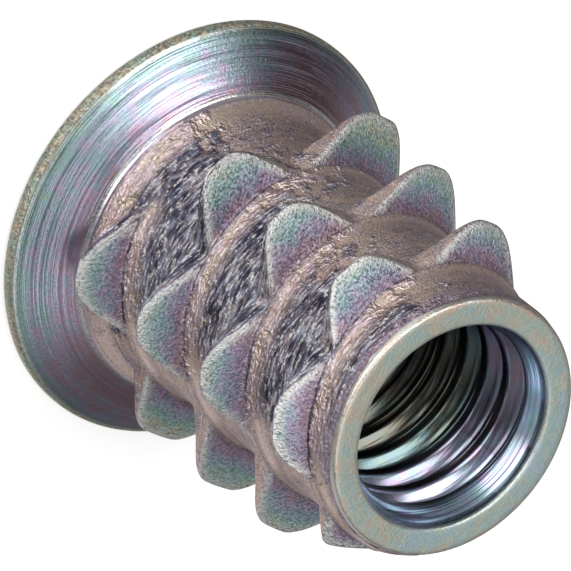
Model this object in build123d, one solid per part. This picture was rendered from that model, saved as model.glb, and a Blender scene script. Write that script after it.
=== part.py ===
from build123d import *
import os
from math import asin, cos, degrees, exp, radians, sin

# Barbed insert nut, turned and barbed from one piece of steel.
# Frame: origin at the centre of the flange's outer face, +Z along the bore
# towards the tip, so the nut stands on its flange. Millimetres.

# ---- driving dimensions -------------------------------------------------
length = 12.50            # flange face to tip face
flange_r = 5.90           # rim of the flange
rim_h = 0.31              # height of the flange's cylindrical rim
rim_edge = 0.10           # rounding on the rim's two edges
cone_r = 4.30             # where the flange's cone meets the neck
cone_z = 1.24
neck_blend = 0.22         # fillet between cone and neck
neck_top_z = 2.45         # the neck has come down to the core here
core_r = 3.70             # root of the barbs
tip_r = 3.64              # outer edge of the tip face
tip_edge = 0.07

minor_r = 2.55            # crest of the M6 x 1 internal thread
mouth_r = 2.92            # bore where it opens in the tip face
mouth_wall = 0.20         # short straight wall inside the mouth
mouth_depth = 0.85        # the mouth has narrowed to the thread here
flange_mouth_r = 3.10     # countersink at the flange end
flange_mouth_depth = 0.55

# one right-hand helix of barbs, one turn every barb_pitch
barb_pitch = 2.98
barb_foot = 1.30          # foot of the helix below the tip face, at t = 0
# V notches part the barbs, six a turn. One row for each barb, from the tip to
# the flange: where its two sides leave the core, in degrees along the helix,
# each with that side's slope against the radius, then the crest radius at
# the two ends of the crest
barb_table = [
    (-112.0, 48.0, -73.5, 53.0, 3.90, 4.36),
    (-62.7, 58.5, -5.5, 69.0, 4.58, 4.68),
    (-6.8, 55.0, 45.0, 57.5, 4.82, 4.80),
    (45.5, 67.0, 105.5, 64.0, 4.88, 4.76),
    (115.0, 57.5, 167.5, 57.5, 4.90, 4.90),
    (174.5, 57.5, 226.5, 57.5, 4.93, 4.93),
    (232.5, 57.5, 284.0, 53.0, 4.91, 4.95),
    (297.3, 58.5, 354.5, 69.0, 4.84, 4.90),
    (353.2, 55.0, 405.0, 57.5, 5.00, 5.00),
    (407.0, 67.0, 470.5, 64.0, 4.98, 5.12),
    (474.5, 57.5, 527.5, 57.5, 5.08, 5.08),
    (534.5, 57.5, 584.0, 57.5, 5.06, 5.06),
    (587.0, 57.5, 642.0, 53.0, 5.08, 5.08),
    (657.3, 58.5, 714.5, 69.0, 4.88, 4.92),
    (713.2, 55.0, 765.5, 57.5, 5.04, 5.02),
    (769.0, 63.0, 836.0, 64.0, 5.10, 5.28),
    (838.0, 57.5, 887.5, 57.5, 5.15, 5.15),
    (894.5, 57.5, 944.0, 57.5, 5.06, 5.06),
    (947.0, 57.5, 1002.0, 53.0, 5.00, 5.00),
    (1017.3, 58.5, 1074.0, 68.0, 4.90, 4.88)]
tip_flank = 0.36          # set-back of the tip-side flank, mm for each mm out
crest_land = 0.15         # width of the crest along the axis
crest_break = 0.06        # broken edge either side of the crest
back_foot = 0.36          # spread of the barb's flange side at its foot
back_curve = 0.42         # height over which that spread dies away
sunk = 0.30               # how far each barb's root goes into the core


def ring(points):
    """Solid of revolution of a closed (r, z) outline about Z."""
    face = make_face(Polyline(*[(r, 0, z) for r, z in points], close=True))
    return revolve(face, axis=Axis.Z)


def arc(cx, cz, rad, a0, a1, n=5):
    """Points of a small (r, z) arc, for rounded edges in an outline."""
    return [(cx + rad * cos(radians(a0 + (a1 - a0) * i / n)),
             cz + rad * sin(radians(a0 + (a1 - a0) * i / n)))
            for i in range(n + 1)]


# ---- turned body --------------------------------------------------------
cone_out_r = flange_r - rim_edge
outline = [(minor_r - 1.2, 0.0)]
outline += arc(flange_r - rim_edge, rim_edge, rim_edge, -90, 0)
outline += arc(flange_r - rim_edge, rim_h, rim_edge, 0, 62)
# cone of the flange's underside, then the concave fillet to the neck
c1 = Vector(cone_r + neck_blend, cone_z - neck_blend * 0.58)
neck_mid = (cone_r - 0.07, cone_z + neck_blend)
outline += [(c1.X, c1.Y), (cone_r + 0.10, cone_z - 0.02),
            (cone_r + 0.02, cone_z + 0.07), neck_mid]
outline += [(cone_r - 0.28, cone_z + 0.62), (core_r + 0.12, cone_z + 0.95),
            (core_r, neck_top_z)]
outline += [(core_r, length - 1.1)]
outline += [(tip_r + 0.02, length - tip_edge)]
outline += [(tip_r - tip_edge * 0.8, length)]
outline += [(minor_r - 1.2, length)]
body = ring(outline)


# ---- barbs --------------------------------------------------------------
def wall_angle(side, rc):
    """Angle from a notch's foot to where its planar side reaches rc."""
    # law of sines in the triangle of axis, notch foot and crest corner
    return side - degrees(asin(core_r * sin(radians(side)) / rc))


def spread(h):
    """How far the flange side has drawn in at height h above the core."""
    return back_foot * (1 - exp(-h / back_curve)) if h > 0 else back_foot / back_curve * h


def section(t, top_r, crest_r):
    """Barb outline in the radial plane at t degrees along the helix."""
    z_foot = length - (barb_foot + barb_pitch * t / 360.0)
    rise = max(crest_r - core_r, 0.6)
    width = crest_land + tip_flank * rise + spread(rise)
    lo = core_r - sunk

    def tip_z(r):
        return z_foot - tip_flank * (r - core_r)

    def back_z(r):
        return z_foot - width + spread(r - core_r)

    cb = crest_break
    knee = lo + 0.5 * (top_r - lo)
    rz = [(lo, tip_z(lo)), (top_r - cb, tip_z(top_r - cb)),
          (top_r, tip_z(top_r) - cb * 0.7), (top_r, back_z(top_r) + cb * 0.7),
          (top_r - cb, back_z(top_r - cb)), (knee, back_z(knee)), (lo, back_z(lo))]
    phi = radians(-90.0 - t)
    return Wire.make_polygon(
        [Vector(r * cos(phi), r * sin(phi), z) for r, z in rz], close=True)


barbs = []
low = core_r - 0.02
for t0, side0, t1, side1, c0, c1 in barb_table:
    a = t0 + wall_angle(side0, c0)
    b = t1 - wall_angle(side1, c1)
    crest = (c0 + c1) / 2
    stations = [(t0 + 0.4, low), (a, c0), (a + (b - a) / 3, c0 + (c1 - c0) / 3),
                (b - (b - a) / 3, c1 - (c1 - c0) / 3), (b, c1), (t1 - 0.4, low)]
    barbs.append(Solid.make_loft(
        [section(t, top, crest) for t, top in stations], ruled=True))

# ---- bore ---------------------------------------------------------------
bore = ring([(0, -0.5), (flange_mouth_r, -0.5), (flange_mouth_r, 0.0),
             (minor_r, flange_mouth_depth), (minor_r, length - mouth_depth),
             (mouth_r, length - mouth_wall), (mouth_r, length + 0.5),
             (0, length + 0.5)])
top_cut = Pos(0, 0, length + 1.0) * Cylinder(8, 2.0)

nut = body.fuse(*barbs)
nut = nut - bore - top_cut
nut = nut.solids().sort_by(SortBy.VOLUME)[-1]
print("insert_nut", nut.is_valid, round(nut.volume, 3), nut.bounding_box())

os.makedirs("parts", exist_ok=True)
export_step(nut, "parts/insert_nut.step")
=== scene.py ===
import math
import bpy
import numpy as np
from mathutils import Matrix, Vector


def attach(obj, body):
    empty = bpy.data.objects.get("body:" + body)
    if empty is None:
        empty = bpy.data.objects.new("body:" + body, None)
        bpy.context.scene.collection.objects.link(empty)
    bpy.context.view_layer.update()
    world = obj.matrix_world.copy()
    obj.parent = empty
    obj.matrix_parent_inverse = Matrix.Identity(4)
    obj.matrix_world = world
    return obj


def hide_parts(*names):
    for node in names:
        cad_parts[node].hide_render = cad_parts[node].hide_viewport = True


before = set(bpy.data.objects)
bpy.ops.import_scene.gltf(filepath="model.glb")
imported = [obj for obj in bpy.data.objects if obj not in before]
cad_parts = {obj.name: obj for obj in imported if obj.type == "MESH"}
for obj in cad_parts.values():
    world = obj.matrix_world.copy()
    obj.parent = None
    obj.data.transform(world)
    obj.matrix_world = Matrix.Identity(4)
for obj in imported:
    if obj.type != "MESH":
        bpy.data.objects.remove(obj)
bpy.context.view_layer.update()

MM = 0.001

# ---------------------------------------------------------------- dimensions
# The CAD's driving sizes, in mm, repeated here for the finished surface.
LENGTH = 12.50
FLANGE_R = 5.90
RIM_H = 0.31
CONE_R, CONE_Z = 4.23, 1.27
CORE_R = 3.70
TIP_R = 3.64
PITCH = 2.98
FOOT = 1.30
# one row per barb along the helix: where each side leaves the core (degrees),
# that side's slope against the radius, and the crest radius at either end
BARBS = [
    (-114.0, 48.0, -73.5, 53.0, 3.82, 4.40),
    (-62.7, 58.5, -5.5, 69.0, 4.58, 4.68),
    (-6.8, 55.0, 45.0, 57.5, 4.82, 4.80),
    (45.5, 67.0, 105.5, 64.0, 4.88, 4.76),
    (115.0, 57.5, 167.5, 57.5, 4.90, 4.90),
    (174.5, 57.5, 226.5, 57.5, 4.93, 4.93),
    (232.5, 57.5, 284.0, 53.0, 4.91, 4.95),
    (297.3, 58.5, 354.5, 69.0, 4.84, 4.90),
    (353.2, 55.0, 405.0, 57.5, 5.00, 5.00),
    (407.0, 67.0, 470.5, 64.0, 4.98, 5.12),
    (474.5, 57.5, 527.5, 57.5, 5.08, 5.08),
    (534.5, 57.5, 584.0, 57.5, 5.06, 5.06),
    (587.0, 57.5, 642.0, 53.0, 5.08, 5.08),
    (657.3, 58.5, 714.5, 69.0, 4.88, 4.92),
    (713.2, 55.0, 765.5, 57.5, 5.04, 5.02),
    (769.0, 63.0, 836.0, 64.0, 5.10, 5.28),
    (838.0, 57.5, 887.5, 57.5, 5.15, 5.15),
    (894.5, 57.5, 944.0, 57.5, 5.06, 5.06),
    (947.0, 57.5, 1002.0, 53.0, 5.00, 5.00),
    (1017.3, 58.5, 1074.0, 68.0, 4.90, 4.88),
]
TIP_FLANK = 0.36
LAND = 0.14
BACK_FOOT, BACK_CURVE = 0.36, 0.42
CAD_LAST = 1071.0

TH_P = 1.0          # M6 x 1 internal thread
TH_CREST = 2.585
TH_ROOT = 2.985
TH_Z0 = 0.166       # crest centre's depth at theta 0
MOUTH_R = 2.905

rng = np.random.default_rng(7)


def smin(a, b, k):
    """Rounded minimum of two heights."""
    h = np.clip(0.5 + 0.5 * (b - a) / k, 0, 1)
    return b * (1 - h) + a * h - k * h * (1 - h)


def smax(a, b, k):
    return -smin(-a, -b, k)


def ss(x, a, b):
    t = np.clip((x - a) / (b - a), 0, 1)
    return t * t * (3 - 2 * t)


def lump(th, z, seed, scale, octaves=3):
    """Smooth seamless noise on the turned surface, about -1 to 1."""
    g = np.random.default_rng(seed)
    th, z = np.broadcast_arrays(np.radians(th), z)
    out = np.zeros(th.shape)
    amp, tot = 1.0, 0.0
    for o in range(octaves):
        for _ in range(7):
            n = g.integers(0, int(4.2 / scale * 2 ** o) + 1) * g.choice([-1, 1])
            w = g.normal(0, 1.0) / scale * 2 ** o
            out += amp * np.sin(n * th + w * z + g.uniform(0, 6.283))
        tot += amp * 7 ** 0.5
        amp *= 0.55
    return out / tot


def root_r(zd):
    """Radius of the turned core and neck at depth zd below the tip face."""
    zd = np.asarray(zd, float)
    xs = np.array([0.00, 0.10, 0.20, 0.55, 9.2, 9.75, 10.15, 10.55, 10.85, 11.05])
    rs = np.array([3.66, 3.67, 3.68, 3.70, 3.70, 3.73, 3.81, 3.93, 4.06, 4.17])
    return np.interp(zd, xs, rs)


# ---------------------------------------------------------------- the barbs
barbs = np.array(BARBS)
mids = (barbs[:, 0] + barbs[:, 2]) / 2
tops = (barbs[:, 4] + barbs[:, 5]) / 2


def wall_h(a, side):
    """Height of a planar notch wall at a degrees inside its foot."""
    k = math.radians(side)
    a = np.radians(np.clip(a, -8, side - 6))
    return CORE_R * math.sin(k) / np.sin(k - a) - CORE_R


def crest_h(t):
    """Even crest height above the core at t degrees along the helix."""
    return np.interp(t, mids, tops - CORE_R)


def top_h(t):
    """Height of the barbs' outline above the core."""
    t = np.asarray(t, float)
    out = np.full(t.shape, -0.4)
    for t0, k0, t1, k1, c0, c1 in BARBS:
        side = smin(wall_h(t - t0, k0), wall_h(t1 - t, k1), 0.40)
        c = np.interp(t, [t0 + 12, t1 - 12], [c0, c1]) - CORE_R
        out = smax(out, smin(side, c + 0.05 + 0 * t, 0.56), 0.05)
    return np.maximum(out, 0.0)


def width(t):
    """Axial width of the helix at the core: a thin blade on a spread foot."""
    h = np.clip(crest_h(t), 0.6, 2)
    return TIP_FLANK * h + LAND + BACK_FOOT * (1 - np.exp(-h / BACK_CURVE))


def back_s(h, w):
    """Distance of the flange-side flank behind the foot line at height h."""
    return w - BACK_FOOT * (1 - np.exp(-h / BACK_CURVE))


def back_h(s, w):
    """Height of the flange-side flank at distance s behind the foot line."""
    q = (w - s) / BACK_FOOT
    # the curve's own inverse, carried on as a steep line near the top
    lim = 0.95
    h = -BACK_CURVE * np.log(1 - np.clip(q, -3, lim))
    top = -BACK_CURVE * math.log(1 - lim)
    return np.where(q > lim, top + (q - lim) * BACK_FOOT * 12.0, h)


# ---------------------------------------------------------------- mesh
N = 432
# columns sit closer together on the notch walls than on the crests
dens = np.ones(3600)
ang = np.arange(3600) * 0.1
for n in (-75.0, -67.0, -7.0, 45.0, 110.0, 171.0, 229.0):
    d = np.abs((ang - n + 180) % 360 - 180)
    dens += 0.7 * np.exp(-((d - 9) / 9.0) ** 2)
cum = np.concatenate([[0], np.cumsum(dens)])
cum /= cum[-1]
TH = np.interp(np.arange(N) / N, cum, np.arange(3601) * 0.1) - 180.0   # -180..180

verts, faces = [], []
turned = []
att = {"hgt": [], "foot": [], "edge": [], "front": [], "zone": []}


def add(th, r, zd, zone=0.0, hgt=0.0, foot=0.0, edge=0.0, front=0.0):
    """Adds points given as angle, radius and depth; returns their numbers."""
    th, r, zd, zone, hgt, foot, edge, front = np.broadcast_arrays(
        th, r, zd, zone, hgt, foot, edge, front)
    base = sum(len(v) for v in verts)
    phi = np.radians(-90.0 - th)
    verts.append(np.stack([r * np.cos(phi), r * np.sin(phi), LENGTH - zd], -1).reshape(-1, 3))
    turned.append(np.stack([th, r, zd], -1).reshape(-1, 3))
    for k, v in (("hgt", hgt), ("foot", foot), ("edge", edge), ("front", front), ("zone", zone)):
        att[k].append(np.asarray(v, float).reshape(-1))
    return np.arange(base, base + th.size).reshape(th.shape)


def quads(a, b, flip=False):
    """Faces between two closed rings of point numbers."""
    a2, b2 = np.roll(a, -1), np.roll(b, -1)
    q = np.stack([a, b, b2, a2], -1) if not flip else np.stack([a, a2, b2, b], -1)
    faces.extend(q.tolist())


Z_TOP, Z_BOT = 0.20, 11.05    # depths between which the helix strip is laid


def strip():
    """The barbed helix with the core between its turns, as one spiral strip."""
    T0, T1 = -472.0, 1275.0
    k0 = int(math.floor((T0 + 180) / 360 * N))
    k1 = int(math.ceil((T1 + 180) / 360 * N))
    j = np.arange(k0, k1 + 1)
    t = TH[j % N] + 360.0 * (j // N)
    h = top_h(t)
    w = width(t)
    e1 = np.maximum(TIP_FLANK * h, 0.035)
    e2 = np.minimum(back_s(h, w), w - 0.035)
    e2 = np.maximum(e2, e1 + 0.05)
    rows = []
    for s in (-0.38, -0.26, -0.16, -0.08, -0.02):
        rows.append(np.full_like(t, s))
    for f in (0.07, 0.16, 0.28, 0.41, 0.54, 0.67, 0.79, 0.89, 0.97):
        rows.append(e1 * f)
    for f in (0.08, 0.24, 0.42, 0.6, 0.78, 0.93):
        rows.append(e1 + (e2 - e1) * f)
    for f in (0.03, 0.08, 0.16, 0.28, 0.45, 0.66, 0.88):
        rows.append(e2 + (w - e2) * f)
    for s in (0.03, 0.09, 0.17):
        rows.append(w + s)
    lo, hi = w + 0.17, PITCH - 0.38
    for f in (0.2, 0.4, 0.6, 0.8):
        rows.append(lo + (hi - lo) * f)
    s = np.stack(rows)                       # rows x columns
    K = len(rows)
    T = np.broadcast_to(t, s.shape)
    past = s > w + 0.1
    sp = np.where(past, s - PITCH, s)        # distance past the nearest foot
    Tn = np.where(past, T + 360.0, T)        # and that foot's place on the helix
    live = ss(Tn, -150, -100) * (1 - ss(Tn, 1074, 1082))
    # small lack of straightness of the rolled foot line and flanks
    wob = 0.020 * lump(T, T * 0 + T / 360 * PITCH, 3, 2.0)
    zd = FOOT + PITCH * T / 360.0 + s
    ht = np.broadcast_to(h, s.shape)
    wt = np.broadcast_to(w, s.shape)
    h1 = (s - wob) / TIP_FLANK
    h2 = back_h(s, wt)
    hh = smin(smin(h1, h2, 0.16), ht + 0.03 + 0 * s, 0.15)
    hh = smax(hh, 0 * hh, 0.16)
    # before the foot the fillet still lifts the core a little
    fade = ss(T, -116, -106) * (1 - ss(T, 1071, 1077))
    hh = hh * fade
    # the wide concave fillet that leads up to each foot
    hh = smax(hh, 0.15 * np.exp(-np.abs(sp) / 0.24) * live, 0.07)
    clamp_t, clamp_b = zd <= Z_TOP, zd >= Z_BOT
    zd = np.clip(zd, Z_TOP, Z_BOT)
    hh = np.where(clamp_t | clamp_b, 0.0, hh)
    rr = root_r(zd)
    # the neck swells under the last barbs, so their tops keep their height
    r = np.maximum(rr, CORE_R + hh) + np.minimum(hh, rr * 0 + 0.0)
    r = smax(rr, CORE_R + hh, 0.10) - 0.025 * np.exp(-((rr - CORE_R - hh) / 0.1) ** 2)
    r = np.where(clamp_t | clamp_b, rr, r)
    und = 0.012 * lump(T, zd, 11, 1.3) + 0.006 * lump(T, zd, 12, 0.45)
    r = r + und * ss(zd, 0.2, 0.6) * (1 - ss(zd, 10.7, 11.05))
    foot = np.where(sp < -0.16, np.exp(-((sp + 0.16) / 0.26) ** 2), np.exp(-((sp + 0.16) / 0.12) ** 2)) * live
    edge = np.exp(-((s - e1) / 0.07) ** 2) * ss(ht, 0.06, 0.4) * fade
    front = ss(s, 0.0, 0.06) * (1 - ss(s, e1 - 0.02, e1 + 0.04)) * ss(ht, 0.03, 0.2) * fade
    ids = add(T, r, zd, 0.0, hh, foot, edge, front)
    top_ring = np.full(N, -1)
    bot_ring = np.full(N, -1)
    out = ids.copy()
    col = j % N
    for jj in range(len(j)):
        c = col[jj]
        m = np.where(clamp_t[:, jj])[0]
        if len(m):
            if top_ring[c] < 0:
                top_ring[c] = ids[m[0], jj]
            out[m, jj] = top_ring[c]
        m = np.where(clamp_b[:, jj])[0]
        if len(m):
            if bot_ring[c] < 0:
                bot_ring[c] = ids[m[0], jj]
            out[m, jj] = bot_ring[c]
    nc = len(j)
    nxt = np.empty(nc, int)
    for jj in range(nc):
        nxt[jj] = out[0, jj + N] if jj + N < nc else bot_ring[col[jj]]
    full = np.vstack([out, nxt])
    a, b = full[:-1, :-1], full[:-1, 1:]
    c, d = full[1:, 1:], full[1:, :-1]
    q = np.stack([a, d, c, b], -1).reshape(-1, 4)
    for f in q.tolist():
        g = []
        for v in f:
            if v not in g:
                g.append(v)
        if len(g) >= 3:
            faces.append(g)
    return top_ring, bot_ring


top_ring, bot_ring = strip()
THN = TH[np.arange(N)]


def rings(start, profile, zone, seed, amp=0.006, flip=False, hold=None):
    """Closed rings along an (r, depth) profile, joined to the ring start."""
    prev = start
    for i, (r, zd) in enumerate(profile):
        n = amp * lump(THN, np.full(N, zd * 1.0 + r), seed, 0.7)
        n2 = amp * lump(THN, np.full(N, zd * 1.0 + r), seed + 1, 0.7)
        cur = add(THN, r + n, zd + 0.5 * n2, zone)
        quads(prev, cur, flip)
        prev = cur
    return prev


# tip: rounded outer edge, flat annulus, mouth and its narrowing wall
tip_prof = [(3.672, 0.12), (3.660, 0.065), (3.640, 0.030), (3.605, 0.008), (3.565, 0.0),
            (3.46, -0.004), (3.34, 0.0), (3.22, 0.0), (3.10, 0.002), (3.02, 0.004),
            (2.965, 0.008), (2.930, 0.022), (2.912, 0.050), (MOUTH_R, 0.10)]
last = rings(top_ring, tip_prof, 2.0, 21, 0.007, flip=True)


def bore():
    """The threaded bore as one spiral strip, from the mouth to the flange end."""
    M = N // 3
    thm = THN[::3]
    zt, zb = 0.16, LENGTH - 0.05
    K = 12
    t0 = -360.0 * 2.2
    t1 = 360.0 * (LENGTH / TH_P + 1.5)
    k0 = int(math.floor((t0 + 180) / 360 * M))
    k1 = int(math.ceil((t1 + 180) / 360 * M))
    j = np.arange(k0, k1 + 1)
    t = thm[j % M] + 360.0 * (j // M)
    # thread section across one pitch: crest flat, flank, round root, flank
    us = np.array([-0.12, -0.045, 0.045, 0.12, 0.20, 0.29, 0.38, 0.46, 0.54, 0.62, 0.71, 0.80]) * TH_P
    s = np.broadcast_to(us[:, None], (K, len(j)))
    T = np.broadcast_to(t, s.shape)
    zd = TH_Z0 + TH_P * T / 360.0 + s
    a = np.abs(s / TH_P)
    a = np.minimum(a, 1 - a)
    depth = TH_ROOT - TH_CREST
    f = np.clip((a - 0.115) / 0.29, 0, 1)
    f = f - 0.10 * np.sin(2 * np.pi * f) / 1.0
    rt = TH_CREST + depth * np.clip(f, 0, 1)
    ct, cb = zd <= zt, zd >= zb
    zd = np.clip(zd, zt, zb)
    # the mouth's cone and the countersink at the flange end
    mouth = np.interp(zd, [0.0, 0.20, 0.78, 0.95], [2.905, 2.885, 2.60, 2.50])
    sink = np.interp(LENGTH - zd, [0.0, 0.55, 0.6], [3.10, 2.55, 2.5])
    g = ss(zd, 0.25, 0.70)
    rt = TH_CREST - 0.1 + (rt - TH_CREST + 0.1) * g
    r = smax(smax(rt, mouth, 0.06), sink, 0.05)
    r = np.where(ct, 2.888, np.where(cb, 3.05, r))
    r = r + 0.004 * lump(T, zd, 41, 0.8)
    ids = add(T, r, zd, 3.0)
    top, bot = np.full(M, -1), np.full(M, -1)
    out = ids.copy()
    col = j % M
    for jj in range(len(j)):
        c = col[jj]
        m = np.where(ct[:, jj])[0]
        if len(m):
            if top[c] < 0:
                top[c] = ids[m[0], jj]
            out[m, jj] = top[c]
        m = np.where(cb[:, jj])[0]
        if len(m):
            if bot[c] < 0:
                bot[c] = ids[m[0], jj]
            out[m, jj] = bot[c]
    nc = len(j)
    nxt = np.array([out[0, jj + M] if jj + M < nc else bot[col[jj]] for jj in range(nc)])
    full = np.vstack([out, nxt])
    q = np.stack([full[:-1, :-1], full[:-1, 1:], full[1:, 1:], full[1:, :-1]], -1).reshape(-1, 4)
    for fq in q.tolist():
        g2 = []
        for v in fq:
            if v not in g2:
                g2.append(v)
        if len(g2) >= 3:
            faces.append(g2)
    return top, bot


def fan(coarse, fine, flip):
    """Joins a ring of M points to one of 3M points."""
    M = len(coarse)
    for i in range(M):
        a, b = coarse[i], coarse[(i + 1) % M]
        f = [fine[(3 * i + d) % (3 * M)] for d in range(4)]
        tri = [[a, f[0], f[1]], [a, f[1], f[2]], [a, f[2], b], [b, f[2], f[3]]]
        for q in tri:
            faces.append(q[::-1] if flip else q)


bt, bb = bore()
fan(bt, last, True)

# flange: cone of its underside, rim, flat outer face with the countersink
fl_prof = [(4.235, 11.16), (4.30, 11.235), (4.40, 11.30), (4.55, 11.385), (4.75, 11.495),
           (4.95, 11.61), (5.15, 11.725), (5.35, 11.84), (5.55, 11.955), (5.70, 12.04),
           (5.78, 12.085), (5.83, 12.118), (5.868, 12.155), (5.888, 12.20), (5.893, 12.26),
           (5.893, 12.33), (5.885, 12.39), (5.865, 12.44), (5.83, 12.478), (5.79, 12.5),
           (5.5, 12.5), (4.9, 12.5), (4.2, 12.5), (3.6, 12.5), (3.25, 12.5), (3.12, 12.492)]
zones = [1.0] * 11 + [4.0] * 9 + [5.0] * 6
end = bot_ring
for i, (r, zd) in enumerate(fl_prof):
    free = 1.0 if 12.0 < zd < 12.45 else 0.3
    n = 0.010 * free * lump(THN, np.full(N, zd), 61, 0.9) if zd < 12.47 else 0.0
    cur = add(THN, r - np.abs(n), np.full(N, zd), zones[i])
    quads(end, cur, False)
    end = cur
fan(bb, end, False)

# ---------------------------------------------------------------- finish per point
TRN = np.vstack(turned)
A = {k: np.concatenate(v) for k, v in att.items()}
tth, tr, tzd = TRN[:, 0], TRN[:, 1], TRN[:, 2]
tth = (tth + 180.0) % 360.0 - 180.0
zone = A["zone"]
big = lump(tth, tzd, 101, 3.2)                 # slow drift of the passivate's tint
mid = lump(tth, tzd + 0.4 * tr, 102, 1.1)
# tint runs tan 0, green 0.2, teal 0.4, steel blue 0.6, lavender 0.8, mauve 1
tint = np.full(len(tth), 0.55)
tint = np.where(zone == 0, 0.86 - 0.30 * np.clip(A["hgt"], 0, 1.2) * A["front"], tint)
cone_f = np.clip((tr - 4.3) / 1.5, 0, 1)
cone_f = np.clip((tr - 4.3) / 1.5, 0, 1)
# on the cone the tint shifts towards mauve on the sides: partly the passivate's own tint, partly painted reflection
# colour
side = 1 - ss(tth, -95, -48) + ss(tth, 55, 85)
tint = np.where(zone == 1, 0.86 - 0.50 * cone_f + 0.34 * side, tint)
tint = np.where(zone == 2, 0.34 + 0.14 * np.sin(np.radians(tth - 100)), tint)
tint = np.where(zone == 2, tint - 0.20 * ss(tr, 3.45, 3.66), tint)
tint = np.where(zone == 3, np.interp(tzd, [0, 0.8, 2.2, 3.4, 4.5], [0.62, 0.72, 0.80, 0.35, 0.12]), tint)
tint = np.where(zone >= 4, 0.06, tint)
A["tint"] = np.clip(tint + 0.10 * big + 0.10 * mid, 0, 1)
# the roots between the barbs, the neck and the barbs' flange sides are darker
root = np.where(zone == 0, (1 - A["front"]) * (1 - ss(tzd, 11.0, 11.2)), 0.0)
root = root * ss(tzd, 0.12, 0.5)
A["root"] = np.clip(root * (1 - 0.75 * A["edge"]), 0, 1)
# chatter marks lie in patches of the core; elsewhere it is smoother and browner
tj = tth + 16.0 * lump(tth, tzd, 105, 1.3) + 7.0 * lump(tth, tzd, 106, 0.6)
A["chat"] = ss(tj, -75, -32) * (1 - ss(tj, 2, 58)) + ss(np.abs(tj), 120, 160) + 0.30 * ss(lump(tth, tzd, 103, 1.6), 0.2, 0.9)
A["chat"] = np.clip(A["chat"] + 0.35 * lump(tth, tzd, 104, 0.9) * A["chat"], 0, 1)
# the grain shows strongly on the barbs in front and faintly round the sides; its bright specks are painted glints
A["grit"] = 0.62 + 0.38 * ss(tth, -25, -8) * (1 - ss(tth, 58, 72))
A["grit"] = np.where(zone == 1, 0.35 + 0.65 * ss(tth, -20, 15) * (1 - ss(tth, 80, 100)), A["grit"])
# warm tint where the neck meets the cone, brightened as a painted highlight; a painted highlight line on the cone's
# inner edge
A["foot"] = np.where(zone == 0, np.maximum(A["foot"], 0.9 * ss(tzd, 10.45, 10.75)), A["foot"])
# painted highlight lines on the cone's inner edge and rim and on the tip's outer edge and mouth, also used as worn
# edges
A["edge"] = np.where(zone == 1, np.exp(-((tr - 4.30) / 0.045) ** 2) + 0.8 * np.exp(-((tr - 5.80) / 0.05) ** 2), A["edge"])
A["edge"] = np.where(zone == 2, np.exp(-((tr - 3.63) / 0.035) ** 2) * (tzd < 0.15) + 0.6 * np.exp(-((tr - 2.93) / 0.03) ** 2), A["edge"])
# painted shade in the bore: its colour darkens with depth, least on the side round -135 degrees
bore_lit_side = ss(-np.abs(tth + 135), -62, -30)
A["bore_painted_shade"] = np.where(zone == 3, np.interp(tzd, [0, 0.8, 1.1, 3.0, 5.0], [1.0, 1.0, 0.80, 0.50, 0.20])
                     * (1 - ss(tzd, 0.7, 1.0) * 0.50 * (1 - bore_lit_side)), 1.0)

V = np.vstack(verts) * MM
used = sorted({v for f in faces for v in f})
remap = -np.ones(len(V), int)
remap[used] = np.arange(len(used))
V = V[used]
F = [[int(remap[v]) for v in f] for f in faces]
me = bpy.data.meshes.new("insert_nut_steel")
me.from_pydata(V.tolist(), [], F)
me.validate()
for k in A:
    a = me.attributes.new(k, "FLOAT", "POINT")
    a.data.foreach_set("value", A[k][used].astype(np.float32))
me.polygons.foreach_set("use_smooth", [True] * len(me.polygons))
me.update()
nut = bpy.data.objects.new("insert_nut_steel", me)
bpy.context.collection.objects.link(nut)
import bmesh
bm = bmesh.new()
bm.from_mesh(me)
bmesh.ops.recalc_face_normals(bm, faces=bm.faces)
print("open edges", sum(1 for e in bm.edges if len(e.link_faces) != 2),
      "tris", sum(len(f.verts) - 2 for f in bm.faces), "volume mm3", bm.calc_volume() * 1e9)
bm.to_mesh(me)
bm.free()

# ---------------------------------------------------------------- material
mat = bpy.data.materials.new("zinc_steel_passivated")
mat.use_nodes = True
nt = mat.node_tree
nt.nodes.clear()
L = nt.links


def node(kind, **kw):
    n = nt.nodes.new(kind)
    for k, v in kw.items():
        setattr(n, k, v)
    return n


def put(sock, v):
    """Links a socket, or sets the value, of a node's input."""
    if hasattr(v, "is_output"):
        L.new(v, sock)
    else:
        sock.default_value = v


def maths(op, a, b=0.0, c=0.0, clamp=False):
    n = node("ShaderNodeMath", operation=op, use_clamp=clamp)
    for i, v in enumerate((a, b, c)):
        put(n.inputs[i], v)
    return n.outputs[0]


def mix(f, a, b, kind="MIX"):
    n = node("ShaderNodeMix", data_type="RGBA", blend_type=kind)
    put(n.inputs["Factor"], f)
    put(n.inputs[6], a)
    put(n.inputs[7], b)
    return n.outputs[2]


def attr(name):
    return node("ShaderNodeAttribute", attribute_name=name).outputs["Fac"]


def vec(x, y, z):
    n = node("ShaderNodeCombineXYZ")
    for i, v in enumerate((x, y, z)):
        put(n.inputs[i], v)
    return n.outputs[0]


def noise(v, scale, detail=2.0, rough=0.55):
    n = node("ShaderNodeTexNoise")
    put(n.inputs["Vector"], v)
    n.inputs["Scale"].default_value = scale
    n.inputs["Detail"].default_value = detail
    n.inputs["Roughness"].default_value = rough
    return n.outputs["Fac"]


def band(v, lo, hi):
    """0 below lo, 1 above hi."""
    n = node("ShaderNodeMapRange")
    put(n.inputs["Value"], v)
    n.inputs["From Min"].default_value = lo
    n.inputs["From Max"].default_value = hi
    return n.outputs[0]


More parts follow.
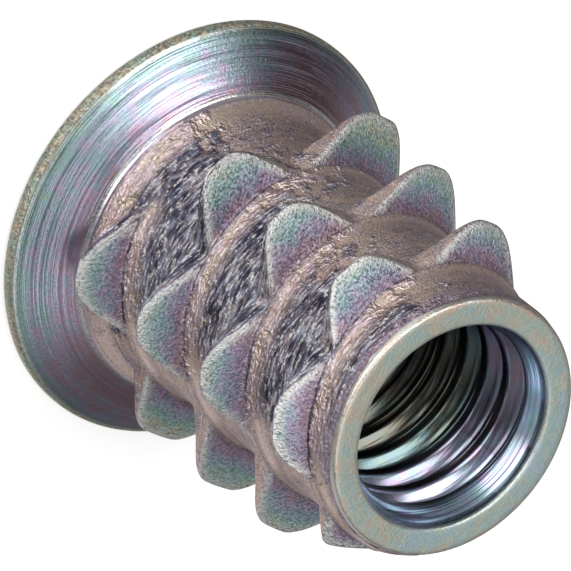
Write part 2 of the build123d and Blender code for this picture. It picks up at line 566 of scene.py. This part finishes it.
# object coordinates in millimetres, and the same turned about the axis
tc = node("ShaderNodeTexCoord")
mm = node("ShaderNodeVectorMath", operation="SCALE")
L.new(tc.outputs["Object"], mm.inputs[0])
mm.inputs["Scale"].default_value = 1000.0
P = mm.outputs[0]
sep = node("ShaderNodeSeparateXYZ")
L.new(P, sep.inputs[0])
X, Y, Z = sep.outputs[0], sep.outputs[1], sep.outputs[2]
R = maths("SQRT", maths("ADD", maths("MULTIPLY", X, X), maths("MULTIPLY", Y, Y)))
CX, SY = maths("DIVIDE", X, R), maths("DIVIDE", Y, R)


def around(k, along, m):
    """Coordinates stretched round the axis: k is the stretch's radius."""
    return vec(maths("MULTIPLY", CX, k), maths("MULTIPLY", SY, k), maths("MULTIPLY", along, m))


hgt, foot, edge, front = attr("hgt"), attr("foot"), attr("edge"), attr("front")
zone_a, tint_a, root_a = attr("zone"), attr("tint"), attr("root")


def is_zone(k):
    return maths("MULTIPLY", maths("GREATER_THAN", zone_a, k - 0.5), maths("LESS_THAN", zone_a, k + 0.5))


cone_m, tip_m, bore_m = is_zone(1.0), is_zone(2.0), is_zone(3.0)

grain = noise(P, 13.0, 3.0, 0.62)                 # etched grain, about 0.08 mm
fine = noise(P, 26.0, 1.0, 0.5)
blotch = noise(P, 2.2, 3.0, 0.6)
streak = noise(around(12.0, Z, 10.0), 1.0, 2.0, 0.6)    # chatter drawn round the core
turn1 = noise(around(0.5, R, 9.0), 1.0, 3.0, 0.6)       # turning lines on the cone
turn2 = noise(around(0.25, R, 5.0), 1.0, 2.0, 0.5)
turnz = noise(around(0.4, Z, 14.0), 1.0, 2.0, 0.55)      # and on the neck and bore

ramp = node("ShaderNodeValToRGB")
cr = ramp.color_ramp
cols = [(0.0, (0.64, 0.56, 0.44)), (0.20, (0.52, 0.62, 0.52)), (0.40, (0.42, 0.62, 0.61)),
        (0.60, (0.50, 0.59, 0.70)), (0.80, (0.63, 0.53, 0.70)), (1.0, (0.66, 0.46, 0.54))]
cr.elements[0].position, cr.elements[0].color = cols[0][0], (*cols[0][1], 1)
cr.elements[1].position, cr.elements[1].color = cols[-1][0], (*cols[-1][1], 1)
for p, c in cols[1:-1]:
    e = cr.elements.new(p)
    e.color = (*c, 1)
phase = maths("ADD", tint_a, maths("MULTIPLY", maths("SUBTRACT", blotch, 0.5), 1.0))
phase = maths("ADD", phase, maths("MULTIPLY", maths("MULTIPLY", maths("SUBTRACT", turn2, 0.5), 0.5), cone_m))
barb_m = maths("MULTIPLY", maths("LESS_THAN", zone_a, 0.5), maths("SUBTRACT", 1.0, root_a), clamp=True)
rise = band(hgt, 0.25, 1.0)
phase = maths("ADD", phase, maths("MULTIPLY", barb_m, maths("SUBTRACT", 0.16, maths("MULTIPLY", rise, 0.34))))
phase = maths("ADD", phase, maths("MULTIPLY", maths("SUBTRACT", grain, 0.5), 0.18), clamp=True)
L.new(phase, ramp.inputs[0])
col = ramp.outputs[0]
# roots: brown to blue-black, in slow patches
chat, bore_painted_shade = attr("chat"), attr("bore_painted_shade")
smooth_c = mix(band(blotch, 0.36, 0.64), (0.82, 0.60, 0.51, 1), (0.50, 0.40, 0.46, 1))
smooth_c = mix(band(fine, 0.56, 0.70), smooth_c, (0.98, 0.90, 0.86, 1))
smooth_c = mix(1.0, smooth_c, mix(band(turnz, 0.3, 0.6), (0.74, 0.74, 0.74, 1), (1.06, 1.06, 1.06, 1)), "MULTIPLY")
pool = noise(around(3.2, Z, 2.2), 1.0, 2.0, 0.6)
coarse = noise(around(5.0, Z, 6.5), 1.0, 3.0, 0.7)
light_c = mix(band(coarse, 0.42, 0.58), (0.82, 0.62, 0.58, 1), (0.66, 0.68, 0.80, 1))
mixed = maths("ADD", maths("MULTIPLY", streak, 0.5), maths("MULTIPLY", coarse, 0.5))
chat_c = mix(band(mixed, 0.42, 0.54), (0.12, 0.12, 0.17, 1), light_c)
chat_c = mix(band(pool, 0.42, 0.60), mix(1.0, chat_c, (0.30, 0.31, 0.40, 1), "MULTIPLY"), chat_c)
chat_c = mix(band(maths("ADD", streak, maths("MULTIPLY", maths("SUBTRACT", grain, 0.5), 0.5)), 0.56, 0.64), chat_c, (1.0, 1.0, 1.0, 1))
chat_f = band(maths("ADD", chat, maths("MULTIPLY", maths("SUBTRACT", blotch, 0.5), 2.2)), 0.30, 0.70)
rootcol = mix(chat_f, smooth_c, chat_c)
col = mix(root_a, col, rootcol)
# painted shade on the barbs' flanks: darker near the foot, lighter towards the crest
painted_flank_shade = mix(rise, (0.72, 0.72, 0.76, 1), (1.14, 1.14, 1.12, 1))
col = mix(barb_m, col, mix(1.0, col, painted_flank_shade, "MULTIPLY"))
# warm tint along each foot line, brightened as a painted highlight
warm_tint_and_highlight = mix(band(blotch, 0.4, 0.6), (1.0, 0.80, 0.66, 1), (1.0, 0.78, 0.80, 1))
col = mix(maths("MULTIPLY", foot, maths("ADD", 0.68, maths("MULTIPLY", blotch, 0.5)), clamp=True), col, warm_tint_and_highlight)
# dark specks of the grain, and bright specks painted as glints
grain_and_glint_specks = mix(band(grain, 0.36, 0.64), (0.34, 0.36, 0.42, 1), (1.50, 1.50, 1.44, 1))
calm = maths("ADD", maths("MULTIPLY", maths("ADD", tip_m, cone_m), 0.88), maths("ADD", bore_m, maths("MULTIPLY", foot, 0.8)), clamp=True)
calm = maths("MAXIMUM", calm, maths("MULTIPLY", root_a, 0.6))
calm = maths("MAXIMUM", calm, maths("SUBTRACT", 1.0, attr("grit")))
calm = maths("MAXIMUM", calm, maths("MULTIPLY", tip_m, 0.85))
grain_and_glint_specks = mix(calm, grain_and_glint_specks, (1, 1, 1, 1))
col = mix(1.0, col, grain_and_glint_specks, "MULTIPLY")
lines = mix(band(turn1, 0.36, 0.50), (0.56, 0.55, 0.58, 1), (1.08, 1.08, 1.08, 1))
col = mix(maths("MULTIPLY", cone_m, attr("grit")), col, mix(1.0, col, lines, "MULTIPLY"))
col = mix(tip_m, col, mix(1.0, col, (1.22, 1.10, 1.12, 1), "MULTIPLY"))
# the bore's colour is brightened as painted light, then every colour is scaled by the bore's painted shade
bore_shade_scale = node("ShaderNodeVectorMath", operation="SCALE")
L.new(mix(bore_m, col, mix(1.0, col, (1.32, 1.32, 1.36, 1), "MULTIPLY")), bore_shade_scale.inputs[0])
L.new(bore_painted_shade, bore_shade_scale.inputs["Scale"])
col = bore_shade_scale.outputs[0]
# worn edges, brightened as a painted highlight along them
wear_and_edge_highlight = maths("MULTIPLY", edge, band(maths("ADD", grain, maths("MULTIPLY", blotch, 0.5)), 0.55, 0.78), clamp=True)
wear_and_edge_highlight = maths("MULTIPLY", wear_and_edge_highlight, 1.15, clamp=True)
col = mix(wear_and_edge_highlight, col, (1.0, 1.0, 0.96, 1))

rough = maths("ADD", 0.30, maths("MULTIPLY", grain, 0.12))
rough = maths("ADD", rough, maths("MULTIPLY", root_a, 0.06))
rough = maths("SUBTRACT", rough, maths("MULTIPLY", wear_and_edge_highlight, 0.08))
rough = maths("SUBTRACT", rough, maths("MULTIPLY", bore_m, 0.14))
rough = maths("SUBTRACT", rough, maths("MULTIPLY", cone_m, 0.12))

# relief: etched grain on the barbs, drawn streaks in the roots, turning lines
hh = maths("ADD", maths("MULTIPLY", grain, 0.85), maths("MULTIPLY", fine, 0.30))
hh = maths("MULTIPLY", hh, maths("SUBTRACT", 1.0, bore_m))
hh = maths("MULTIPLY", hh, maths("SUBTRACT", 1.0, maths("MULTIPLY", foot, 0.7)))
hh = maths("MULTIPLY", hh, maths("SUBTRACT", 1.0, maths("MULTIPLY", cone_m, 0.88)))
hh = maths("MULTIPLY", hh, maths("SUBTRACT", 1.0, maths("MULTIPLY", tip_m, 0.62)))
hh = maths("ADD", hh, maths("MULTIPLY", maths("MULTIPLY", streak, 3.4), maths("MULTIPLY", root_a, chat_f)))
hh = maths("ADD", hh, maths("MULTIPLY", maths("MULTIPLY", turn1, 1.1), maths("MULTIPLY", cone_m, attr("grit"))))
hh = maths("ADD", hh, maths("MULTIPLY", maths("MULTIPLY", turnz, 0.25), bore_m))
bump = node("ShaderNodeBump")
bump.inputs["Strength"].default_value = 1.0
bump.inputs["Distance"].default_value = 0.000045
L.new(hh, bump.inputs["Height"])

out = node("ShaderNodeOutputMaterial")
bsdf = node("ShaderNodeBsdfPrincipled")
L.new(bsdf.outputs["BSDF"], out.inputs["Surface"])
bsdf.inputs["Metallic"].default_value = 1.0
L.new(col, bsdf.inputs["Base Color"])
L.new(rough, bsdf.inputs["Roughness"])
L.new(bump.outputs["Normal"], bsdf.inputs["Normal"])
me.materials.append(mat)

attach(nut, "root")
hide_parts("insert_nut")

# ---------------------------------------------------------------- stage
fm = bpy.data.meshes.new("floor")
fs = 0.6
fm.from_pydata([(-fs, -fs, 0), (fs, -fs, 0), (fs, fs, 0), (-fs, fs, 0)], [], [(0, 1, 2, 3)])
floor = bpy.data.objects.new("floor", fm)
bpy.context.collection.objects.link(floor)
floor.location.z = -0.00002
fmat = bpy.data.materials.new("pale_floor")
fmat.use_nodes = True
fmat.node_tree.nodes["Principled BSDF"].inputs["Base Color"].default_value = (0.93, 0.93, 0.93, 1)
fmat.node_tree.nodes["Principled BSDF"].inputs["Roughness"].default_value = 0.9
fmat.node_tree.nodes["Principled BSDF"].inputs["Emission Color"].default_value = (1, 1, 1, 1)
fmat.node_tree.nodes["Principled BSDF"].inputs["Emission Strength"].default_value = 0.55
floor.visible_glossy = False
fm.materials.append(fmat)

# ---------------------------------------------------------------- camera
AL = math.radians(43.36)      # axis against the direction to the camera
RO = math.radians(38.10)      # axis in the picture, below the horizontal
UNIT = 3.63                   # mm to one tip radius
PX = 139.96 / UNIT            # pixels to a millimetre
to_cam = Vector((0, -math.sin(AL), math.cos(AL)))
a_w = Vector((0, math.cos(AL), math.sin(AL)))
b_w = Vector((1, 0, 0))
right = math.cos(RO) * a_w - math.sin(RO) * b_w
down = math.sin(RO) * a_w + math.cos(RO) * b_w
tip_px = (451.886 + 0.5, 426.283 + 0.5)
off = ((285.5 - tip_px[0]) * right + (285.5 - tip_px[1]) * down) / PX
aim = (Vector((0, 0, LENGTH)) + off - 4.6 * to_cam) * MM   # on the nut's mid depth
LENS = 1500.0
wide = 571 / PX * MM
dist = wide * LENS / 36.0
cam_data = bpy.data.cameras.new("camera")
cam_data.lens = LENS
cam_data.sensor_width = 36.0
cam_data.clip_start, cam_data.clip_end = 0.01, 10
cam = bpy.data.objects.new("camera", cam_data)
bpy.context.collection.objects.link(cam)
m = Matrix((right, -down, to_cam)).transposed().to_4x4()
m.translation = aim + to_cam * dist
cam.matrix_world = m
bpy.context.scene.camera = cam

# ---------------------------------------------------------------- light


def area(name, x, y, depth, size, power, colour=(1, 1, 1), size_y=None):
    """A soft box placed by its direction in the picture: x right, y up, depth towards the camera."""
    d = (x * right - y * down + depth * to_cam)
    d.normalize()
    la = bpy.data.lights.new(name, "AREA")
    la.shape = "RECTANGLE"
    la.size = size
    la.size_y = size_y or size
    la.energy = power
    la.color = colour
    ob = bpy.data.objects.new(name, la)
    bpy.context.collection.objects.link(ob)
    ob.location = Vector((0, 0, 0.006)) + d * 0.25
    ob.rotation_mode = "QUATERNION"
    ob.rotation_quaternion = (-d).to_track_quat("-Z", "Y")
    return ob


area("key", 0.67, 0.03, 0.74, 0.15, 0.165)
area("low", 0.55, -0.60, 0.58, 0.24, 0.14)
area("top", -0.30, 0.90, 0.25, 0.14, 0.09)
world = bpy.data.worlds.new("world")
bpy.context.scene.world = world
world.use_nodes = True
wt = world.node_tree
bg = wt.nodes["Background"]
bg.inputs["Strength"].default_value = 1.0
# a dim studio: darker below the bench, with a soft bounce to one side
wtc = wt.nodes.new("ShaderNodeTexCoord")


def lobe(direction, lo, hi):
    """1 towards a direction of the studio, 0 away from it."""
    d = wt.nodes.new("ShaderNodeVectorMath")
    d.operation = "DOT_PRODUCT"
    v = Vector(direction).normalized()
    wt.links.new(wtc.outputs["Generated"], d.inputs[0])
    d.inputs[1].default_value = v
    m = wt.nodes.new("ShaderNodeMapRange")
    m.interpolation_type = "SMOOTHSTEP"
    wt.links.new(d.outputs["Value"], m.inputs["Value"])
    m.inputs["From Min"].default_value = lo
    m.inputs["From Max"].default_value = hi
    return m.outputs[0]


def wmath(op, a, b):
    n = wt.nodes.new("ShaderNodeMath")
    n.operation = op
    for i, v in enumerate((a, b)):
        if hasattr(v, "is_output"):
            wt.links.new(v, n.inputs[i])
        else:
            n.inputs[i].default_value = v
    return n.outputs[0]


sky = wmath("ADD", 0.17, wmath("MULTIPLY", lobe((0, 0, 1), -0.35, 0.25), 0.11))
sky = wmath("ADD", sky, wmath("MULTIPLY", lobe((0.59, 0.34, -0.72), 0.55, 1.0), 0.45))
sky = wmath("ADD", sky, wmath("MULTIPLY", lobe((0.0, -0.95, 0.30), 0.82, 0.95), 2.0))
sky = wmath("ADD", sky, wmath("MULTIPLY", lobe((0.0, -0.25, -0.97), 0.60, 0.92), 0.32))
sky = wmath("MULTIPLY", sky, wmath("SUBTRACT", 1.0, wmath("MULTIPLY", lobe((-0.69, 0.50, 0.515), 0.86, 0.97), 0.92)))
sky = wmath("MULTIPLY", sky, wmath("SUBTRACT", 1.0, wmath("MULTIPLY", lobe((0.56, 0.78, 0.257), 0.80, 0.97), 0.6)))
sky = wmath("MULTIPLY", sky, wmath("SUBTRACT", 1.0, wmath("MULTIPLY", lobe((0.163, -0.265, 0.946), 0.80, 0.97), 0.75)))
comb = wt.nodes.new("ShaderNodeCombineColor")
for i in range(3):
    wt.links.new(sky, comb.inputs[i])
wt.links.new(comb.outputs[0], bg.inputs["Color"])
# the open backdrop is white where it is seen directly
lp = wt.nodes.new("ShaderNodeLightPath")
bg2 = wt.nodes.new("ShaderNodeBackground")
bg2.inputs["Color"].default_value = (1, 1, 1, 1)
mx = wt.nodes.new("ShaderNodeMixShader")
wt.links.new(lp.outputs["Is Camera Ray"], mx.inputs[0])
wt.links.new(bg.outputs[0], mx.inputs[1])
wt.links.new(bg2.outputs[0], mx.inputs[2])
wt.links.new(mx.outputs[0], wt.nodes["World Output"].inputs["Surface"])
bpy.context.scene.view_settings.view_transform = "Standard"
